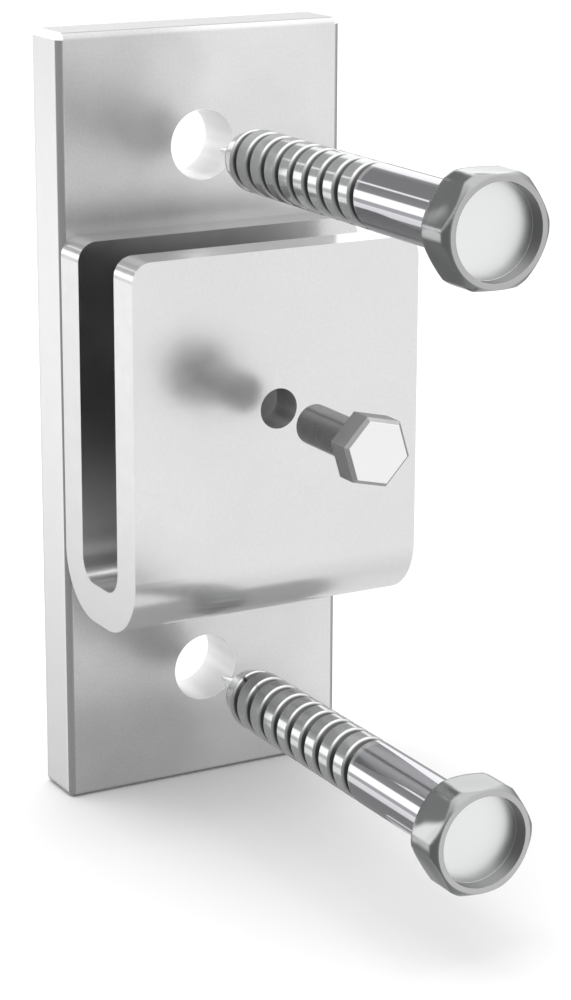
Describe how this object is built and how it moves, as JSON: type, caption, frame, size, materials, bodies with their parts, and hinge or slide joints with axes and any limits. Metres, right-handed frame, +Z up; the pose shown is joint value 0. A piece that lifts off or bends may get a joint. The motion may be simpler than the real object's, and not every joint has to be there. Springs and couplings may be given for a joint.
{
  "type": "flat bar support bracket",
  "caption": "Wall bracket for flat bar: a thick back plate for lag screws carries an open-topped bent channel with a set bolt through its front leaf.",
  "frame": {"origin": "centre of the back plate's back face, which lies on the wall", "axes": "+Z up, +Y into the wall, -Y out of the wall towards the screw heads, +X to the right seen from the front"},
  "size_m": [0.0508, 0.0967, 0.127],
  "materials": {
    "plate_steel": "satin",
    "channel_steel": "satin",
    "polished_steel": "polished",
    "bolt_steel": "satin"
  },
  "bodies": {
    "bracket": {"back_plate": "plate_steel", "bar_channel": "channel_steel"},
    "upper_lag": {"upper_lag_screw": "polished_steel"},
    "lower_lag": {"lower_lag_screw": "polished_steel"},
    "set_bolt": {"set_bolt": "bolt_steel"}
  },
  "joints": [
    {"name": "upper_lag_slide", "type": "slide", "parent": "bracket", "child": "upper_lag", "axis": [0, 1, 0], "range_m": [0, 0.0797]},
    {"name": "lower_lag_slide", "type": "slide", "parent": "bracket", "child": "lower_lag", "axis": [0, 1, 0], "range_m": [0, 0.0797]},
    {"name": "set_bolt_slide", "type": "slide", "parent": "bracket", "child": "set_bolt", "axis": [0, 1, 0], "range_m": [0, 0.0259]}
  ]
}
